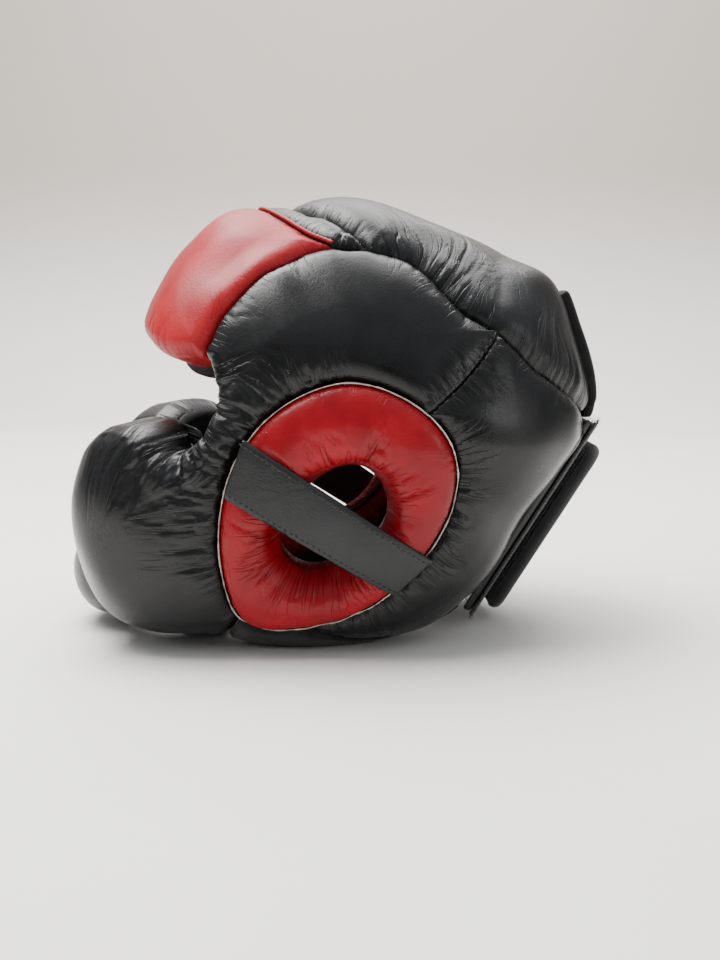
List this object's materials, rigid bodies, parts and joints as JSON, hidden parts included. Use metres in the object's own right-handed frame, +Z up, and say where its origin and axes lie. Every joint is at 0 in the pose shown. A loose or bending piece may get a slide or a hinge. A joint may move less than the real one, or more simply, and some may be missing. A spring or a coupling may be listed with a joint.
{
  "type": "boxing headgear",
  "caption": "Full-coverage padded leather boxing headgear with round ear rings, ear straps, cheek pads, a chin bar, and hook-and-loop closures at the back and chin.",
  "frame": {"origin": "centre of the bounding box, on the surface that the headgear lies on", "axes": "+X to the wearer's left, +Y to the back of the head, +Z up; it lies on its lower rims with the brow tilted up"},
  "size_m": [0.2184, 0.2917, 0.2375],
  "materials": {
    "black_leather": "satin",
    "red_leather": "satin",
    "lining_leather": "smooth",
    "black_suede": "suede",
    "raw_edge": "raw cut edge",
    "foam": "foam",
    "hook_tape": "woven",
    "velour": "velour"
  },
  "bodies": {
    "shell": {"forehead_cover": "red_leather", "forehead_piping": "red_leather", "forehead_foam": "foam", "crown_bridge_foam": "foam", "crown_foam": "foam", "chin_bar_foam": "foam", "forehead_lining": "lining_leather", "crown_lining": "lining_leather", "crown_bridge_cover": "black_leather", "crown_cover": "black_leather", "chin_bar_cover": "black_leather", "rear_tongue": "black_leather", "rear_flap_root": "black_leather", "left_chin_strap": "black_leather", "crown_rear_tab": "black_suede", "rear_loop_patch": "hook_tape", "chin_loop_patch": "hook_tape", "left_side_cover": "black_leather", "left_wing_cover": "black_leather", "left_ear_strap": "black_leather", "left_temple_foam": "foam", "left_cheek_foam": "foam", "left_wing_foam": "foam", "left_ear_ring_foam": "foam", "left_side_lining": "lining_leather", "left_wing_lining": "lining_leather", "left_ear_ring_lining": "lining_leather", "left_ear_ring_cover": "red_leather", "left_ear_ring_edge": "raw_edge", "left_lower_rim": "black_suede", "right_side_cover": "black_leather", "right_wing_cover": "black_leather", "right_ear_strap": "black_leather", "right_temple_foam": "foam", "right_cheek_foam": "foam", "right_wing_foam": "foam", "right_ear_ring_foam": "foam", "right_side_lining": "lining_leather", "right_wing_lining": "lining_leather", "right_ear_ring_lining": "lining_leather", "right_ear_ring_cover": "red_leather", "right_ear_ring_edge": "raw_edge", "right_lower_rim": "black_suede"},
    "rear_flap": {"rear_flap": "velour", "rear_hook_patch": "hook_tape"},
    "chin_strap": {"right_chin_strap": "black_leather", "chin_hook_patch": "hook_tape"}
  },
  "joints": [
    {"name": "rear_flap_peel", "type": "hinge", "parent": "shell", "child": "rear_flap", "pos_m": [-0.037, 0.11427, 0.0551], "axis": [0, 0.5329, 0.8462], "range_deg": [0, 110]},
    {"name": "chin_strap_swing", "type": "hinge", "parent": "shell", "child": "chin_strap", "pos_m": [-0.043, -0.0755, 0], "axis": [0, 1, 0], "range_deg": [0, 100]}
  ]
}
